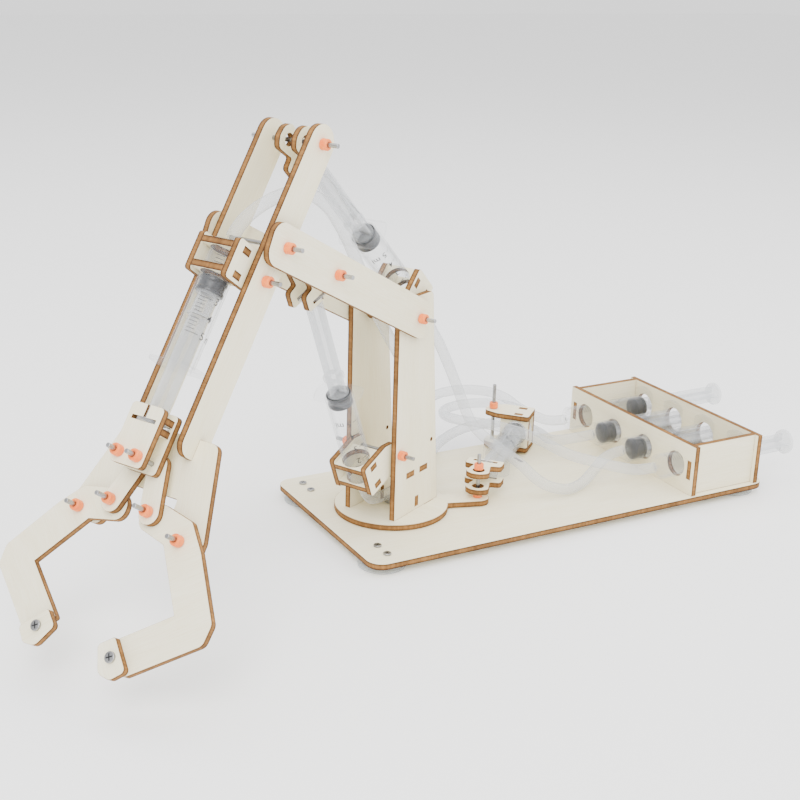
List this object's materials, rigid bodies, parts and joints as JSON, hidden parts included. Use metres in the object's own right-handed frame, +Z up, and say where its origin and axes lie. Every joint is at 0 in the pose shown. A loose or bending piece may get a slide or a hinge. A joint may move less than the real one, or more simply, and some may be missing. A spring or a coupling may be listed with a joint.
{
  "type": "hydraulic robot arm kit",
  "caption": "Jointed plywood robot arm with gripper on a turntable board, moved by syringes and hoses from a hand control box.",
  "frame": {"origin": "centre of the bottom of the object's box, hoses left out, on the surface that the feet stand on", "axes": "+X along the board from the arm to the control box, +Y across the board, +Z up"},
  "size_m": [0.4626, 0.238, 0.2133],
  "materials": {
    "plywood": "sanded basswood plywood with laser-burnt brown edges",
    "steel": "bright steel wire rod and screws",
    "silicone_collar": "soft orange silicone",
    "syringe_plastic": "clear polypropylene",
    "seal_rubber": "black rubber",
    "hose": "clear soft tube",
    "foot": "clear soft plastic"
  },
  "bodies": {
    "base": {"base_board": "plywood", "suction_feet": "foot", "base_fasteners": "steel", "steer_collars": "silicone_collar", "box_front_panel": "plywood", "box_rear_panel": "plywood", "box_end_panels": "plywood", "control_barrels": "syringe_plastic", "turn_hose": "hose", "lift_hose": "hose", "elbow_hose": "hose", "grip_hose": "hose"},
    "turn_control": {"control_turn_plunger": "syringe_plastic"},
    "lift_control": {"control_lift_plunger": "syringe_plastic"},
    "elbow_control": {"control_elbow_plunger": "syringe_plastic"},
    "grip_control": {"control_grip_plunger": "syringe_plastic"},
    "turntable": {"turntable_disc": "plywood", "column_near_plate": "plywood", "column_far_plate": "plywood", "column_braces": "plywood", "turntable_rods": "steel", "turntable_collars": "silicone_collar"},
    "steer_cylinder": {"steer_bracket": "plywood", "steer_barrel": "syringe_plastic"},
    "steer_ram": {"steer_plunger": "syringe_plastic", "steer_clevis": "plywood"},
    "boom": {"boom_near_bar": "plywood", "boom_far_bar": "plywood", "boom_rods": "steel", "boom_collars": "silicone_collar"},
    "lift_cylinder": {"lift_bracket": "plywood", "lift_barrel": "syringe_plastic"},
    "lift_ram": {"lift_plunger": "syringe_plastic", "lift_seal": "seal_rubber", "lift_clevis": "plywood"},
    "elbow_cylinder": {"elbow_bracket": "plywood", "elbow_barrel": "syringe_plastic"},
    "elbow_ram": {"elbow_plunger": "syringe_plastic", "elbow_seal": "seal_rubber", "elbow_clevis": "plywood"},
    "forearm": {"forearm_near_bar": "plywood", "forearm_far_bar": "plywood", "forearm_rods": "steel", "forearm_collars": "silicone_collar", "gripper_plate": "plywood", "grip_bracket": "plywood", "grip_barrel": "syringe_plastic"},
    "grip_ram": {"grip_plunger": "syringe_plastic", "grip_seal": "seal_rubber", "push_block": "plywood", "push_pins": "steel", "push_collars": "silicone_collar"},
    "left_jaw_body": {"left_jaw": "plywood", "left_jaw_pins": "steel", "left_jaw_collar": "silicone_collar"},
    "right_jaw_body": {"right_jaw": "plywood", "right_jaw_pins": "steel", "right_jaw_collar": "silicone_collar"},
    "left_link_body": {"left_link": "plywood"},
    "right_link_body": {"right_link": "plywood"}
  },
  "joints": [
    {"name": "base_turn", "type": "hinge", "parent": "base", "child": "turntable", "pos_m": [-0.022, 0.04229, 0.007], "axis": [0, 0, 1], "range_deg": [-30, 0]},
    {"name": "steer_swing", "type": "hinge", "parent": "base", "child": "steer_cylinder", "pos_m": [0.0737, 0.09529, 0.007], "axis": [0, 0, 1], "range_deg": [-0.1, 3.8], "deforming": ["turn_hose"]},
    {"name": "steer_stroke", "type": "slide", "parent": "steer_cylinder", "child": "steer_ram", "axis": [0.7429, 0.6694, 0], "range_m": [-0.0241, 0]},
    {"name": "control_turn", "type": "slide", "parent": "base", "child": "turn_control", "axis": [1, 0, 0], "range_m": [-0.0241, 0]},
    {"name": "boom_lift", "type": "hinge", "parent": "turntable", "child": "boom", "pos_m": [-0.02824, 0.03911, 0.114], "axis": [-0.454, 0.891, 0], "range_deg": [-30, 0]},
    {"name": "lift_swing", "type": "hinge", "parent": "turntable", "child": "lift_cylinder", "pos_m": [-0.03626, 0.03502, 0.045], "axis": [-0.454, 0.891, 0], "range_deg": [-14.4, 0.1], "deforming": ["lift_hose"]},
    {"name": "lift_stroke", "type": "slide", "parent": "lift_cylinder", "child": "lift_ram", "axis": [0.3362, 0.1713, -0.9261], "range_m": [0, 0.0254]},
    {"name": "control_lift", "type": "slide", "parent": "base", "child": "lift_control", "axis": [1, 0, 0], "range_m": [0, 0.0254]},
    {"name": "elbow", "type": "hinge", "parent": "boom", "child": "forearm", "pos_m": [-0.11954, -0.00741, 0.16621], "axis": [-0.454, 0.891, 0], "range_deg": [0, 35], "deforming": ["grip_hose"]},
    {"name": "elbow_swing", "type": "hinge", "parent": "boom", "child": "elbow_cylinder", "pos_m": [-0.02824, 0.03911, 0.114], "axis": [-0.454, 0.891, 0], "range_deg": [-2.4, 0.1], "deforming": ["elbow_hose"]},
    {"name": "elbow_stroke", "type": "slide", "parent": "elbow_cylinder", "child": "elbow_ram", "axis": [0.6466, 0.3294, -0.688], "range_m": [0, 0.0293]},
    {"name": "control_elbow", "type": "slide", "parent": "base", "child": "elbow_control", "axis": [1, 0, 0], "range_m": [0, 0.0293]},
    {"name": "grip", "type": "slide", "parent": "forearm", "child": "grip_ram", "axis": [-0.5262, -0.2681, -0.807], "range_m": [-0.004, 0.005]},
    {"name": "control_grip", "type": "slide", "parent": "base", "child": "grip_control", "axis": [1, 0, 0], "range_m": [-0.0051, 0.0041]},
    {"name": "jaw_left", "type": "hinge", "parent": "forearm", "child": "left_jaw_body", "pos_m": [-0.19875, -0.01691, 0.06389], "axis": [-0.719, -0.3664, 0.5906], "range_deg": [-18, 14.5]},
    {"name": "jaw_right", "type": "hinge", "parent": "forearm", "child": "right_jaw_body", "pos_m": [-0.17378, -0.06591, 0.06389], "axis": [-0.719, -0.3664, 0.5906], "range_deg": [-14.5, 18]},
    {"name": "link_left", "type": "hinge", "parent": "grip_ram", "child": "left_link_body", "pos_m": [-0.17559, -0.03036, 0.08374], "axis": [-0.719, -0.3664, 0.5906], "range_deg": [-5, 6.2]},
    {"name": "link_right", "type": "hinge", "parent": "grip_ram", "child": "right_link_body", "pos_m": [-0.17105, -0.03927, 0.08374], "axis": [-0.719, -0.3664, 0.5906], "range_deg": [-6.2, 5]}
  ],
  "couplings": [
    {"joint": "steer_swing", "follows": "base_turn", "ratio": -0.123},
    {"joint": "steer_stroke", "follows": "base_turn", "m_per_rad": 0.045832},
    {"joint": "control_turn", "follows": "base_turn", "m_per_rad": 0.045832},
    {"joint": "lift_swing", "follows": "boom_lift", "ratio": 0.4746},
    {"joint": "lift_stroke", "follows": "boom_lift", "m_per_rad": -0.048226},
    {"joint": "control_lift", "follows": "boom_lift", "m_per_rad": -0.048226},
    {"joint": "elbow_swing", "follows": "elbow", "ratio": -0.0639},
    {"joint": "elbow_stroke", "follows": "elbow", "m_per_rad": 0.047672},
    {"joint": "control_elbow", "follows": "elbow", "m_per_rad": 0.047672},
    {"joint": "control_grip", "follows": "grip", "ratio": -1},
    {"joint": "jaw_left", "follows": "grip", "rad_per_m": -62},
    {"joint": "jaw_right", "follows": "grip", "rad_per_m": 62},
    {"joint": "link_left", "follows": "grip", "rad_per_m": 21},
    {"joint": "link_right", "follows": "grip", "rad_per_m": -21}
  ]
}
